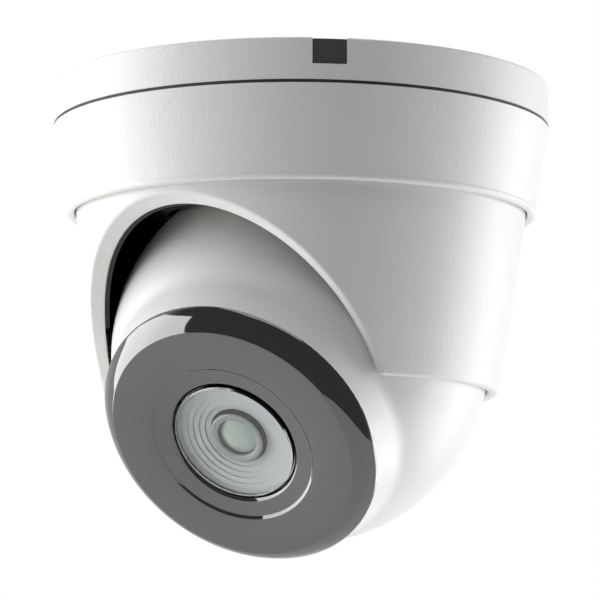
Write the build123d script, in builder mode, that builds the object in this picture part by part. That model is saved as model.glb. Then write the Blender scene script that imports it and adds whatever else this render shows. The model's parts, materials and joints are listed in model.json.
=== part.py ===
from build123d import *
import os
from math import asin, cos, degrees, radians, sin, sqrt, tan

# Ceiling turret camera: a die-cast base, a twist-lock trim ring, a turret shell that pans in them,
# and a camera ball that swings, tilts and rolls inside the shell. Units are millimetres. The origin
# is the centre of the ceiling face, +Z is up, and -Y is the side of the cable outlet.

# ---------------------------------------------------------------- driving dimensions
# base
BASE_R = 61.0
BASE_H = 9.8
BASE_WALL = 3.0
PLATE_T = 3.0
BASE_EDGE = 0.5
CABLE_HOLE_R = 14.0
SCREW_PCD = 84.0
SCREW_COUNT = 3
SCREW_HOLE_R = 2.25
BOSS_R = 6.0
BOSS_H = 2.0
NOTCH_W = 8.0
NOTCH_H = 6.2
FOAM_IN_R = 50.0
FOAM_OUT_R = 54.0
FOAM_T = 1.0
PLUG_GAP = 0.1
PLUG_LIP_T = 1.0

# bayonet between base and trim ring
SEAM_H = 0.8
SKIRT_R = 56.6
SKIRT_T = 2.4
SKIRT_H = 16.5
LUG_COUNT = 3
LUG_SPAN = 24.0
LUG_H = 1.7
LUG_R = 58.2

# trim ring
TRIM_LIP_R = 57.7
TRIM_H = 22.4
TRIM_UPPER_IN_R = 58.6
TRIM_FLANGE_IN_R = 57.2
LIP_ROUND_H = 1.5
FIT_GAP = 0.3

# turret shell
SHELL_TOP_R = 55.15
SHELL_BOTTOM_R = 48.2
SHELL_BOTTOM_Z = -75.6
SHELL_BULGE = 0.55
SHELL_WALL_TOP = 3.15
SHELL_WALL_BALL = 2.75
FLANGE_R = 56.8
FLANGE_T = 2.8
LEDGE_IN_R = 41.0
LEDGE_T = 2.5
LEDGE_DROP = 4.8
GLIDE_T = 0.6
LINER_T = 1.0
LINER_BOTTOM_Z = -60.0
LINER_FLANGE_T = 1.5
LINER_SCREWS = 4
LINER_BOSS_R = 2.9
LINER_SETBACK = 0.8
SHELF_IN_R = 43.0
SHELF_T = 1.5
SCREW_SHANK_R = 1.45
PAN_HEAD_R = 2.7
PAN_HEAD_H = 1.6
SMALL_SHANK_R = 1.0
OPENING_ELEVATION = -26.0
OPENING_HALF_ANGLE = 56.4
OPENING_ROUND = 0.8
LIP_INNER_ROUND = 0.5

# camera ball
BALL_R = 46.1
BALL_DROP = 65.85
BALL_WALL = 2.4
BALL_SPLIT_D = -18.0
CREASE_D = 27.3
CREASE_ROUND = 9.0
COLLAR_FRONT_D = 36.1
COLLAR_FRONT_R = 35.2

# pose at rest, degrees about +Z from -Y, and below the horizontal
TURRET_TURN = -41.2
BALL_SWING = 5.3
BALL_TILT = 37.6
TILT_HIGHEST = 30.0
TILT_LOWEST = 90.0

# tilt carriage, in the ball's open rear
CARRIAGE_IN_R = 23.5
CARRIAGE_OUT_R = 33.0
CARRIAGE_FRONT_D = -27.0
NECK_R = 26.5
BORE_GAP = 0.08
SNUG_GAP = 0.02
SHOULDER_T = 2.5
CLIP_R = 28.1
CLIP_T = 1.0
CLIP_GROOVE = 0.6
STUD_R = 2.1
STUD_SIDE = 16.0
STUD_ROOT = 39.0
NUT_R = 3.6
NUT_T = 2.4

# swivel frame over the ball
RAIL_IN_R = 48.0
RAIL_T = 2.2
RAIL_W = 9.0
RAIL_FOOT_Z = -30.6
RAIL_FOOT_T = 1.6
RAIL_FOOT_IN_R = 33.0
RAIL_FOOT_OUT_R = 49.0
SLOT_SPARE = 1.0

# face of the camera, distances D from the ball centre along the optical axis
BEZEL_FRONT_D = 40.7
BEZEL_SIDE_D = 38.3
BEZEL_SIDE_R = 34.8
BEZEL_FLAT_R = 30.6
RECESS_R = 20.9
RECESS_FLOOR_R = 17.0
RECESS_DEPTH = 1.1
BEZEL_T = 2.0
SPIGOT_R = 32.4
SPIGOT_H = 1.6
WINDOW_R = 15.2
WINDOW_T = 1.5
BEZEL_SEAL_T = 0.3

# optics
LENS_HEAD_R = 6.8
LENS_FRONT_D = 36.8
LENS_HEAD_H = 5.0
LENS_THREAD_R = 6.0
LENS_THREAD_H = 10.5
THREAD_GAP = 0.06
GLASS_BALL_R = 12.0
HOLDER_R = 9.0
HOLDER_FLANGE_W = 19.0
IR_CUT_TRAVEL = 6.4
FILTER_W = 8.0
FILTER_T = 0.8
BAFFLE_STEPS = 5
BAFFLE_STEP_H = 0.35
BAFFLE_MOUTH_R = 14.4
BAFFLE_THROAT_R = 7.3

# boards
BOARD_T = 1.6
IR_BOARD_IN_R = 17.6
IR_BOARD_OUT_R = 31.6
IR_BOARD_D = 32.6
LED_RING_R = 25.0
LED_COUNT = 10
LED_R = 2.5
LED_H = 2.6
SENSOR_BOARD_W = 32.0
SENSOR_BOARD_D = 11.0
MAIN_BOARD_R = 26.0
MAIN_BOARD_D = -3.0
CHASSIS_D = 5.0
CHASSIS_T = 1.6
CHASSIS_R = 30.2
CHASSIS_SCREW_R = 28.7
SHELL_LEDGE_R = 32.5
BULKHEAD_D = -14.5
BULKHEAD_T = 2.5
BALL_SCREW_R = 30.7
BALL_SCREW_COUNT = 4
BALL_SCREW_HEAD_R = 2.1
GLAND_R = 5.0
GLAND_BORE_R = 2.8

# ---------------------------------------------------------------- frame of each moving group
trim_top_z = -BASE_H - SEAM_H
trim_bottom_z = trim_top_z - TRIM_H + SEAM_H
glide_bottom_z = -SKIRT_H - GLIDE_T
flange_top_z = glide_bottom_z - 0.1
flange_bottom_z = flange_top_z - FLANGE_T
ledge_top_z = flange_top_z - LEDGE_DROP
ledge_bottom_z = ledge_top_z - LEDGE_T

ball_centre = Vector(0, 0, -BALL_DROP)
face_turn = TURRET_TURN + BALL_SWING


def side_of(turn):
    """Horizontal direction across a group that is turned about +Z."""
    return Vector(cos(radians(turn)), sin(radians(turn)), 0)


def aim(turn, elevation):
    """Direction of a group that is turned about +Z, raised above the horizontal."""
    level = cos(radians(elevation))
    return Vector(sin(radians(turn)) * level, -cos(radians(turn)) * level, sin(radians(elevation)))


# the turret's planes: across it, and the radius-height plane that its pieces are turned on
turret_level = Plane(origin=(0, 0, 0), x_dir=side_of(TURRET_TURN), z_dir=(0, 0, 1))
opening_axis = Axis(ball_centre, aim(TURRET_TURN, OPENING_ELEVATION))
opening_side = side_of(TURRET_TURN)
opening_section = Plane(
    origin=ball_centre, x_dir=opening_side, z_dir=opening_side.cross(opening_axis.direction)
)

# the swivel frame's planes, level with the ball centre
swivel_side = side_of(face_turn)
swivel_level = Plane(origin=ball_centre, x_dir=swivel_side, z_dir=(0, 0, 1))
swivel_section = Plane(origin=ball_centre, x_dir=swivel_side, z_dir=aim(face_turn, 0))

# the ball's planes: square to the optical axis, and the radius-distance plane
face_normal = aim(face_turn, -BALL_TILT)
optical_axis = Axis(ball_centre, face_normal)
face_plane = Plane(origin=ball_centre, x_dir=swivel_side, z_dir=face_normal)
ball_section = Plane(origin=ball_centre, x_dir=swivel_side, z_dir=swivel_side.cross(face_normal))


def sphere_radius(sphere, distance):
    """Radius of a sphere's circle at a distance from its centre."""
    return sqrt(sphere ** 2 - distance ** 2)


def sphere_arc(sphere, start, end):
    """Arc of a sphere's outline between two distances from its centre, for a radius-distance plane."""
    middle = (start + end) / 2
    first, half_way, last = ((sphere_radius(sphere, distance), distance) for distance in (start, middle, end))
    ThreePointArc(first, half_way, last)


def wedges(count, span, reach, first=0.0):
    """Sketch of equal pie pieces around the plane's origin."""
    half = radians(span / 2)
    with PolarLocations(0, count, start_angle=first):
        Polygon((0, 0), (reach, -reach * tan(half)), (reach, reach * tan(half)), align=None)


os.makedirs("parts", exist_ok=True)

# ---------------------------------------------------------------- base: fixed to the ceiling
base_wall_in_r = BASE_R - BASE_WALL
skirt_in_r = SKIRT_R - SKIRT_T
lug_top_z = trim_top_z - 0.6 - LUG_H - 0.3
first_lug = 90.0

# Die-cast base: ceiling plate, outer wall, and a skirt that carries the bayonet lugs.
with BuildPart() as mounting_base:
    with BuildSketch(Plane.XZ):
        Polygon(
            (CABLE_HOLE_R, 0), (BASE_R, 0), (BASE_R, -BASE_H), (base_wall_in_r, -BASE_H),
            (base_wall_in_r, -PLATE_T), (SKIRT_R, -PLATE_T), (SKIRT_R, -SKIRT_H),
            (skirt_in_r, -SKIRT_H), (skirt_in_r, -PLATE_T), (CABLE_HOLE_R, -PLATE_T), align=None,
        )
    revolve(axis=Axis.Z)
    fillet(mounting_base.edges().group_by(Axis.Z)[-1].sort_by(SortBy.LENGTH)[-1], BASE_EDGE)
    # bayonet lugs on the skirt, with a stop rib at the end of each
    with BuildSketch(Plane.XY.offset(lug_top_z - LUG_H)):
        wedges(LUG_COUNT, LUG_SPAN, 2 * BASE_R, first_lug)
        Circle(LUG_R, mode=Mode.INTERSECT)
        Circle(SKIRT_R - 0.5, mode=Mode.SUBTRACT)
    extrude(amount=LUG_H)
    with BuildSketch(Plane.XY.offset(lug_top_z)):
        wedges(LUG_COUNT, 2.0, 2 * BASE_R, first_lug - LUG_SPAN / 2 - 1.2)
        Circle(LUG_R, mode=Mode.INTERSECT)
        Circle(SKIRT_R - 0.5, mode=Mode.SUBTRACT)
    extrude(amount=LUG_H)
    # bosses and holes for the ceiling screws
    with BuildSketch(Plane.XY.offset(-PLATE_T)):
        with PolarLocations(SCREW_PCD / 2, SCREW_COUNT, start_angle=30):
            Circle(BOSS_R)
    extrude(amount=-BOSS_H)
    with BuildSketch(Plane.XY):
        with PolarLocations(SCREW_PCD / 2, SCREW_COUNT, start_angle=30):
            Circle(SCREW_HOLE_R)
    extrude(amount=-(PLATE_T + BOSS_H), mode=Mode.SUBTRACT)
    # groove for the foam seal in the ceiling face
    with BuildSketch(Plane.XY):
        Circle(FOAM_OUT_R)
        Circle(FOAM_IN_R, mode=Mode.SUBTRACT)
    extrude(amount=-FOAM_T, mode=Mode.SUBTRACT)
    # side outlet for a surface-run cable, open at the ceiling face
    with BuildSketch(Plane.XY):
        with Locations((0, -(FOAM_OUT_R + BASE_R) / 2 - 1)):
            Rectangle(NOTCH_W, BASE_R - FOAM_OUT_R + 2)
    extrude(amount=-NOTCH_H, mode=Mode.SUBTRACT)
mounting_base.part.label = "mounting_base"
export_step(mounting_base.part, "parts/mounting_base.step")

# Foam ring that seals the base to the ceiling.
with BuildPart() as ceiling_seal:
    with BuildSketch(Plane.XY):
        Circle(FOAM_OUT_R)
        Circle(FOAM_IN_R, mode=Mode.SUBTRACT)
    extrude(amount=-FOAM_T)
ceiling_seal.part.label = "ceiling_seal"
export_step(ceiling_seal.part, "parts/ceiling_seal.step")

# Rubber plug that closes the side outlet, with a lip behind the wall.
plug_face = BASE_R - 0.4
plug_w = NOTCH_W - 2 * PLUG_GAP
plug_lip_w = NOTCH_W + 3.0
plug_lip_y = sphere_radius(base_wall_in_r, plug_lip_w / 2) - PLUG_LIP_T / 2 - 0.05
with BuildPart() as side_outlet_plug:
    with BuildSketch(Plane.XY.offset(-0.3)):
        with Locations((0, -(plug_face + plug_lip_y) / 2)):
            Rectangle(plug_w, plug_face - plug_lip_y)
    extrude(amount=-(NOTCH_H - 0.3 - PLUG_GAP))
    with BuildSketch(Plane.XY.offset(-PLATE_T - 0.1)):
        with Locations((0, -plug_lip_y)):
            Rectangle(plug_lip_w, PLUG_LIP_T)
    extrude(amount=-(NOTCH_H - PLATE_T + 1.0))
    with BuildSketch(Plane.XY):
        Circle(plug_face)
    extrude(amount=-2 * NOTCH_H, mode=Mode.INTERSECT)
side_outlet_plug.part.label = "side_outlet_plug"
export_step(side_outlet_plug.part, "parts/side_outlet_plug.step")

# Dark gasket that shows as the line between the base and the trim ring.
with BuildPart() as seam_gasket:
    with BuildSketch(Plane.XY.offset(-BASE_H)):
        Circle(BASE_R - 0.35)
        Circle(base_wall_in_r + 0.8, mode=Mode.SUBTRACT)
    extrude(amount=-(SEAM_H - 0.05))
seam_gasket.part.label = "seam_gasket"
export_step(seam_gasket.part, "parts/seam_gasket.step")

# Low-friction ring that the turret's flange turns against.
with BuildPart() as pan_glide_ring:
    with BuildSketch(Plane.XY.offset(-SKIRT_H)):
        Circle(SKIRT_R - 0.1)
        Circle(skirt_in_r + 0.1, mode=Mode.SUBTRACT)
    extrude(amount=-GLIDE_T)
pan_glide_ring.part.label = "pan_glide_ring"
export_step(pan_glide_ring.part, "parts/pan_glide_ring.step")

# ---------------------------------------------------------------- trim ring: twists off the base
trim_step_z = flange_bottom_z - FIT_GAP
trim_lip_in_r = SHELL_TOP_R + 0.4

# Coned ring with a full-round lip; it locks the turret's flange up against the base.
with BuildPart() as trim_ring:
    with BuildSketch(Plane.XZ):
        with BuildLine():
            lip_outer = (TRIM_LIP_R, trim_bottom_z + LIP_ROUND_H)
            lip_low = ((TRIM_LIP_R + trim_lip_in_r) / 2, trim_bottom_z)
            lip_inner = (trim_lip_in_r, trim_bottom_z + LIP_ROUND_H - 0.3)
            Line((BASE_R, trim_top_z), lip_outer)
            ThreePointArc(lip_outer, lip_low, lip_inner)
            Polyline(
                lip_inner, (trim_lip_in_r, trim_step_z), (TRIM_FLANGE_IN_R, trim_step_z),
                (TRIM_FLANGE_IN_R, -SKIRT_H + 0.2), (TRIM_UPPER_IN_R, -SKIRT_H + 0.2),
                (TRIM_UPPER_IN_R, trim_top_z), (BASE_R, trim_top_z),
            )
        make_face()
    revolve(axis=Axis.Z)
    # bayonet lugs inside, resting just above the lugs of the base
    with BuildSketch(Plane.XY.offset(lug_top_z + 0.15)):
        wedges(LUG_COUNT, LUG_SPAN - 2.0, 2 * BASE_R, first_lug + 1.0)
        Circle(TRIM_UPPER_IN_R + 0.5, mode=Mode.INTERSECT)
        Circle(SKIRT_R + FIT_GAP, mode=Mode.SUBTRACT)
    extrude(amount=LUG_H)
trim_ring.part.label = "trim_ring"
export_step(trim_ring.part, "parts/trim_ring.step")

# ---------------------------------------------------------------- turret: pans under the base
shell_straight_z = trim_bottom_z + 0.7
shell_run = shell_straight_z - SHELL_BOTTOM_Z
shell_mid = (
    (SHELL_TOP_R + SHELL_BOTTOM_R) / 2 + SHELL_BULGE,
    (shell_straight_z + SHELL_BOTTOM_Z) / 2,
)
slope = (SHELL_TOP_R - SHELL_BOTTOM_R) / shell_run
shell_r_at_ball = SHELL_BOTTOM_R + slope * (-BALL_DROP - SHELL_BOTTOM_Z)
shell_in_top_r = SHELL_TOP_R - SHELL_WALL_TOP
shell_in_ball_r = shell_r_at_ball - SHELL_WALL_BALL
ball_r_at_lip = sphere_radius(BALL_R, SHELL_BOTTOM_Z + BALL_DROP)
shell_in_bottom_r = ball_r_at_lip + 0.7
boss_bottom_z = RAIL_FOOT_Z + 1.1
screw_ring_r = (LEDGE_IN_R + shell_in_top_r) / 2


def cut_opening(half_angle):
    """Cone that opens from the ball centre, to take out of a turned piece."""
    reach = 2 * BASE_R
    with BuildSketch(opening_section, mode=Mode.PRIVATE) as cone_half:
        Polygon((0, 0), (0, reach), (reach * tan(radians(half_angle)), reach), align=None)
    revolve(cone_half.sketch, axis=opening_axis, mode=Mode.SUBTRACT)


def on_bottom_rim(edge):
    """True for the circles and the short corners at the foot of the turret shell."""
    low = edge.bounding_box().min.Z < SHELL_BOTTOM_Z + 0.05
    return low and edge.geom_type != GeomType.BSPLINE


def on_inner_wall(edge):
    """True for an edge that lies wholly inside the shell's outer radius."""
    middle = edge.position_at(0.5)
    return sqrt(middle.X ** 2 + middle.Y ** 2) < shell_r_at(middle.Z) - OPENING_ROUND - 0.2


def shell_r_at(z):
    """Straight-line radius of the shell's outer face at a height."""
    return SHELL_BOTTOM_R + slope * (z - SHELL_BOTTOM_Z)


# Coned shell with the large opening that the ball looks out of.
with BuildPart() as turret_shell:
    with BuildSketch(Plane.XZ):
        with BuildLine():
            Polyline(
                (shell_in_top_r + 0.3, flange_top_z), (FLANGE_R, flange_top_z), (FLANGE_R, flange_bottom_z),
                (SHELL_TOP_R, flange_bottom_z), (SHELL_TOP_R, shell_straight_z),
            )
            ThreePointArc((SHELL_TOP_R, shell_straight_z), shell_mid, (SHELL_BOTTOM_R, SHELL_BOTTOM_Z))
            Polyline(
                (SHELL_BOTTOM_R, SHELL_BOTTOM_Z), (shell_in_bottom_r, SHELL_BOTTOM_Z),
                (shell_in_ball_r, -BALL_DROP), (shell_in_top_r, ledge_bottom_z),
                (LEDGE_IN_R, ledge_bottom_z), (LEDGE_IN_R, ledge_top_z), (shell_in_top_r + 0.3, ledge_top_z),
                (shell_in_top_r + 0.3, flange_top_z),
            )
        make_face()
    revolve(axis=Axis.Z)
    cut_opening(OPENING_HALF_ANGLE)
    with BuildSketch(turret_level.offset(ledge_top_z)):
        with PolarLocations(screw_ring_r, LINER_SCREWS, start_angle=45):
            Circle(SCREW_SHANK_R + 0.2)
    extrude(amount=-LEDGE_T, mode=Mode.SUBTRACT)
    # the lip of the opening is rounded outside, with its two lower corners, and eased inside
    cut_edges = turret_shell.edges().filter_by(GeomType.BSPLINE).sort_by(SortBy.LENGTH)
    rim_edges = turret_shell.edges().filter_by(on_bottom_rim)
    fillet([cut_edges[-1]] + rim_edges, OPENING_ROUND)
    inner_edges = turret_shell.edges().filter_by(GeomType.BSPLINE).filter_by(on_inner_wall)
    fillet(inner_edges, LIP_INNER_ROUND)
turret_shell.part.label = "turret_shell"
export_step(turret_shell.part, "parts/turret_shell.step")

# Black liner behind the shell's wall, with bosses above and the shelf that carries the swivel frame.
shelf_top_z = RAIL_FOOT_Z - RAIL_FOOT_T - 0.1
shelf_base_z = shelf_top_z - SHELF_T
flange_base_z = ledge_bottom_z - LINER_FLANGE_T
liner_flange_r = screw_ring_r - LINER_BOSS_R - 0.1
liner_screw_grip = 4.0
liner_gap = 0.1


def liner_out_r(z):
    """Radius of the liner's outer face, just inside the shell's wall."""
    fall = (ledge_bottom_z - z) / (ledge_bottom_z + BALL_DROP)
    return shell_in_top_r - (shell_in_top_r - shell_in_ball_r) * fall - liner_gap


def liner_in(z):
    """Point on the liner's inner face at a height."""
    return (liner_out_r(z) - LINER_T, z)


with BuildPart() as black_liner:
    with BuildSketch(Plane.XZ):
        Polygon(
            (liner_flange_r, ledge_bottom_z), (shell_in_top_r - liner_gap, ledge_bottom_z),
            (liner_out_r(LINER_BOTTOM_Z), LINER_BOTTOM_Z), liner_in(LINER_BOTTOM_Z), liner_in(shelf_base_z),
            (SHELF_IN_R, shelf_base_z), (SHELF_IN_R, shelf_top_z), liner_in(shelf_top_z),
            liner_in(flange_base_z), (liner_flange_r, flange_base_z), align=None,
        )
    revolve(axis=Axis.Z)
    cut_opening(OPENING_HALF_ANGLE + LINER_SETBACK)
    with BuildSketch(turret_level.offset(ledge_bottom_z)):
        with PolarLocations(screw_ring_r, LINER_SCREWS, start_angle=45):
            Circle(LINER_BOSS_R)
    extrude(amount=-(ledge_bottom_z - boss_bottom_z))
    with BuildSketch(turret_level.offset(ledge_bottom_z)):
        with PolarLocations(screw_ring_r, LINER_SCREWS, start_angle=45):
            Circle(SCREW_SHANK_R)
    extrude(amount=-liner_screw_grip, mode=Mode.SUBTRACT)
black_liner.part.label = "black_liner"
export_step(black_liner.part, "parts/black_liner.step")

# Pan-head screws that hang the liner from the shell's ledge.
with BuildPart() as liner_screws:
    with BuildSketch(turret_level.offset(ledge_top_z)):
        with PolarLocations(screw_ring_r, LINER_SCREWS, start_angle=45):
            Circle(PAN_HEAD_R)
    extrude(amount=PAN_HEAD_H)
    fillet(liner_screws.edges().group_by(Axis.Z)[-1], PAN_HEAD_H / 3)
    with BuildSketch(turret_level.offset(ledge_top_z)):
        with PolarLocations(screw_ring_r, LINER_SCREWS, start_angle=45):
            Circle(SCREW_SHANK_R)
    extrude(amount=-(LEDGE_T + liner_screw_grip))
liner_screws.part.label = "liner_screws"
export_step(liner_screws.part, "parts/liner_screws.step")

# Flat spring ring between the liner's bosses and the swivel frame's foot.
with BuildPart() as swivel_spring:
    with BuildSketch(turret_level.offset(boss_bottom_z - 0.05)):
        Circle(screw_ring_r + 1.5)
        Circle(screw_ring_r - 2.0, mode=Mode.SUBTRACT)
    extrude(amount=-(boss_bottom_z - 0.05 - RAIL_FOOT_Z - 0.15))
swivel_spring.part.label = "swivel_spring"
export_step(swivel_spring.part, "parts/swivel_spring.step")

# ---------------------------------------------------------------- swivel frame: swings the ball sideways
rail_out_r = RAIL_IN_R + RAIL_T
slot_half_turn = (TILT_LOWEST - TILT_HIGHEST) / 2 + degrees(asin(STUD_R / RAIL_IN_R)) + SLOT_SPARE
foot_top = RAIL_FOOT_Z + BALL_DROP
foot_base = foot_top - RAIL_FOOT_T
foot_level = swivel_level.offset(foot_top)

# Foot ring with two arched rails; the slots in the rails guide the tilt.
with BuildPart() as swivel_frame:
    with BuildSketch(swivel_section):
        with BuildLine():
            foot_in_r = sphere_radius(RAIL_IN_R, foot_base)
            Line((foot_in_r, foot_base), (sphere_radius(rail_out_r, foot_base), foot_base))
            sphere_arc(rail_out_r, foot_base, rail_out_r)
            Line((0, rail_out_r), (0, RAIL_IN_R))
            sphere_arc(RAIL_IN_R, RAIL_IN_R, foot_base)
        make_face()
    revolve(axis=Axis(ball_centre, (0, 0, 1)))
    with BuildSketch(swivel_level):
        with Locations((-STUD_SIDE, 0), (STUD_SIDE, 0)):
            Rectangle(RAIL_W, 3 * BALL_R)
    extrude(amount=2 * BALL_R, mode=Mode.INTERSECT)
    with BuildSketch(foot_level):
        Circle(RAIL_FOOT_OUT_R)
        Circle(RAIL_FOOT_IN_R, mode=Mode.SUBTRACT)
    extrude(amount=-RAIL_FOOT_T)
    for side in (-STUD_SIDE, STUD_SIDE):
        slot_face = Plane(
            origin=ball_centre + swivel_side * side, x_dir=aim(face_turn, 0), z_dir=swivel_side * -1
        )
        with BuildSketch(slot_face):
            reach = 2 * BALL_R
            lean = reach * tan(radians(slot_half_turn))
            Polygon((0, 0), (lean, reach), (-lean, reach), align=None)
        extrude(amount=STUD_R + BORE_GAP, both=True, mode=Mode.SUBTRACT)
swivel_frame.part.label = "swivel_frame"
export_step(swivel_frame.part, "parts/swivel_frame.step")

# ---------------------------------------------------------------- tilt carriage: follows the rails
stud_lead = 90 - (TILT_HIGHEST + TILT_LOWEST) / 2
stud_direction = aim(face_turn + 180, BALL_TILT + stud_lead)
stud_plane = Plane(origin=ball_centre, x_dir=swivel_side, z_dir=stud_direction)
shoulder_back_d = CARRIAGE_FRONT_D + 0.1
shoulder_front_d = shoulder_back_d + SHOULDER_T
clip_back_d = shoulder_front_d + 0.1
neck_front_d = clip_back_d + CLIP_T + 0.8
carriage_ball_r = BALL_R - 0.3
nut_base = sqrt(rail_out_r ** 2 - (STUD_SIDE - NUT_R) ** 2) + 0.3
clip_seat_r = NECK_R - CLIP_GROOVE

# Ring in the ball's open rear; the ball rolls on its neck.
with BuildPart() as tilt_carriage:
    with BuildSketch(ball_section):
        with BuildLine():
            back_out = (CARRIAGE_OUT_R, -sphere_radius(carriage_ball_r, CARRIAGE_OUT_R))
            back_in = (CARRIAGE_IN_R, -sphere_radius(carriage_ball_r, CARRIAGE_IN_R))
            Polyline(
                back_in, (CARRIAGE_IN_R, neck_front_d), (NECK_R, neck_front_d),
                (NECK_R, clip_back_d + CLIP_T), (clip_seat_r, clip_back_d + CLIP_T),
                (clip_seat_r, clip_back_d), (NECK_R, clip_back_d), (NECK_R, CARRIAGE_FRONT_D),
                (CARRIAGE_OUT_R, CARRIAGE_FRONT_D), back_out,
            )
            sphere_arc(carriage_ball_r, back_out[1], back_in[1])
        make_face()
    revolve(axis=optical_axis)
    with BuildSketch(stud_plane.offset(STUD_ROOT)):
        with Locations((-STUD_SIDE, 0), (STUD_SIDE, 0)):
            Circle(STUD_R + SNUG_GAP)
    extrude(amount=BALL_R, mode=Mode.SUBTRACT)
tilt_carriage.part.label = "tilt_carriage"
export_step(tilt_carriage.part, "parts/tilt_carriage.step")

# Two studs that run in the rails' slots.
with BuildPart() as guide_studs:
    with BuildSketch(stud_plane.offset(STUD_ROOT)):
        with Locations((-STUD_SIDE, 0), (STUD_SIDE, 0)):
            Circle(STUD_R)
    extrude(amount=nut_base + NUT_T + 0.6 - STUD_ROOT)
guide_studs.part.label = "guide_studs"
export_step(guide_studs.part, "parts/guide_studs.step")

# Hexagon nuts that set the tilt's friction.
with BuildPart() as guide_nuts:
    with BuildSketch(stud_plane.offset(nut_base)):
        with Locations((-STUD_SIDE, 0), (STUD_SIDE, 0)):
            RegularPolygon(NUT_R, 6)
            Circle(STUD_R, mode=Mode.SUBTRACT)
    extrude(amount=NUT_T)
guide_nuts.part.label = "guide_nuts"
export_step(guide_nuts.part, "parts/guide_nuts.step")

# Retaining clip that keeps the ball on the carriage's neck.
with BuildPart() as roll_clip:
    with BuildSketch(face_plane.offset(clip_back_d)):
        Circle(CLIP_R)
        Circle(clip_seat_r + SNUG_GAP, mode=Mode.SUBTRACT)
        with Locations((0, -NECK_R)):
            Rectangle(7.0, 6.0, mode=Mode.SUBTRACT)
    extrude(amount=CLIP_T)
roll_clip.part.label = "roll_clip"
export_step(roll_clip.part, "parts/roll_clip.step")

# ---------------------------------------------------------------- camera ball: housing
ball_in_r = BALL_R - BALL_WALL
rear_rim_r = CARRIAGE_OUT_R + FIT_GAP
collar_in_r = SPIGOT_R + 0.1
sphere_front_d = CREASE_D - 3.0
ledge_back_d = BULKHEAD_D + BULKHEAD_T
ledge_front_d = ledge_back_d + 2.5
seal_ring_r = 38.0
seal_r = 0.8


def on_crease(edge):
    """True for the circle where the collar leaves the sphere."""
    return abs(face_plane.to_local_coords(edge.arc_center).Z - CREASE_D) < 0.01 and edge.radius > seal_ring_r - 2.0


# Front shell: most of the sphere, the collar that carries the face, and inner bosses.
with BuildPart() as ball_front_shell:
    with BuildSketch(ball_section):
        with BuildLine():
            split_out = (sphere_radius(BALL_R, BALL_SPLIT_D), BALL_SPLIT_D)
            crease = (sphere_radius(BALL_R, CREASE_D), CREASE_D)
            split_in = (sphere_radius(ball_in_r, BALL_SPLIT_D), BALL_SPLIT_D)
            ledge_low = (sphere_radius(ball_in_r, ledge_back_d), ledge_back_d)
            ledge_high = (sphere_radius(ball_in_r, ledge_front_d), ledge_front_d)
            inner_front = (sphere_radius(ball_in_r, sphere_front_d), sphere_front_d)
            sphere_arc(BALL_R, BALL_SPLIT_D, CREASE_D)
            Polyline(
                crease, (COLLAR_FRONT_R, COLLAR_FRONT_D), (collar_in_r, COLLAR_FRONT_D),
                (collar_in_r, IR_BOARD_D), (collar_in_r - 2.0, IR_BOARD_D),
                (collar_in_r - 2.0, IR_BOARD_D - 1.6), (collar_in_r, IR_BOARD_D - 1.6),
                (collar_in_r, sphere_front_d), inner_front,
            )
            sphere_arc(ball_in_r, sphere_front_d, ledge_front_d)
            Polyline(ledge_high, (SHELL_LEDGE_R, ledge_front_d), (SHELL_LEDGE_R, ledge_back_d), ledge_low)
            sphere_arc(ball_in_r, ledge_back_d, BALL_SPLIT_D)
            Line(split_in, split_out)
        make_face()
    revolve(axis=optical_axis)
    with BuildSketch(face_plane.offset(ledge_back_d)):
        with PolarLocations(BALL_SCREW_R, BALL_SCREW_COUNT, start_angle=45):
            Circle(3.2)
    extrude(amount=CHASSIS_D - ledge_back_d)
    with BuildSketch(face_plane.offset(ledge_back_d)):
        with PolarLocations(BALL_SCREW_R, BALL_SCREW_COUNT, start_angle=45):
            Circle(SCREW_SHANK_R)
    extrude(amount=8.0, mode=Mode.SUBTRACT)
    with BuildSketch(face_plane.offset(CHASSIS_D)):
        with PolarLocations(CHASSIS_SCREW_R, BALL_SCREW_COUNT, start_angle=45):
            Circle(SMALL_SHANK_R)
    extrude(amount=-4.0, mode=Mode.SUBTRACT)
    with BuildSketch(ball_section):
        with Locations((seal_ring_r, ledge_back_d)):
            Circle(seal_r)
    revolve(axis=optical_axis, mode=Mode.SUBTRACT)
    # the collar leaves the sphere in a soft fold
    crease_edges = ball_front_shell.edges().filter_by(GeomType.CIRCLE).filter_by(on_crease)
    fillet(crease_edges, CREASE_ROUND)
ball_front_shell.part.label = "ball_front_shell"
export_step(ball_front_shell.part, "parts/ball_front_shell.step")

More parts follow.
